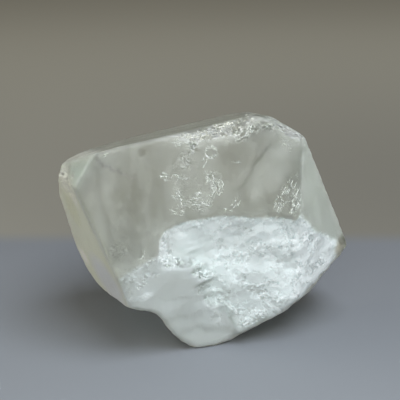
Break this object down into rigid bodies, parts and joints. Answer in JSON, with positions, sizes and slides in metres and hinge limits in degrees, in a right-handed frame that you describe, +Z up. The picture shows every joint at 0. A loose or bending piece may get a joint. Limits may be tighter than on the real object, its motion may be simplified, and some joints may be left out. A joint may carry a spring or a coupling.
{
  "type": "topaz crystal",
  "caption": "Single blocky topaz crystal with flat growth faces above and a rough shell-shaped break at the lower front, resting on a flat cleavage face.",
  "frame": {"origin": "middle of the crystal's footprint box, on the flat cleavage face it rests on", "axes": "+Z up, -Y towards the viewer of the broad prism face, +X to that viewer's right, along the crystal's greatest width"},
  "size_m": [0.0612, 0.0393, 0.0487],
  "materials": {
    "topaz": "colourless topaz, satin etched growth faces, milky white where broken"
  },
  "bodies": {
    "root": {"topaz_crystal": "topaz"}
  },
  "joints": []
}
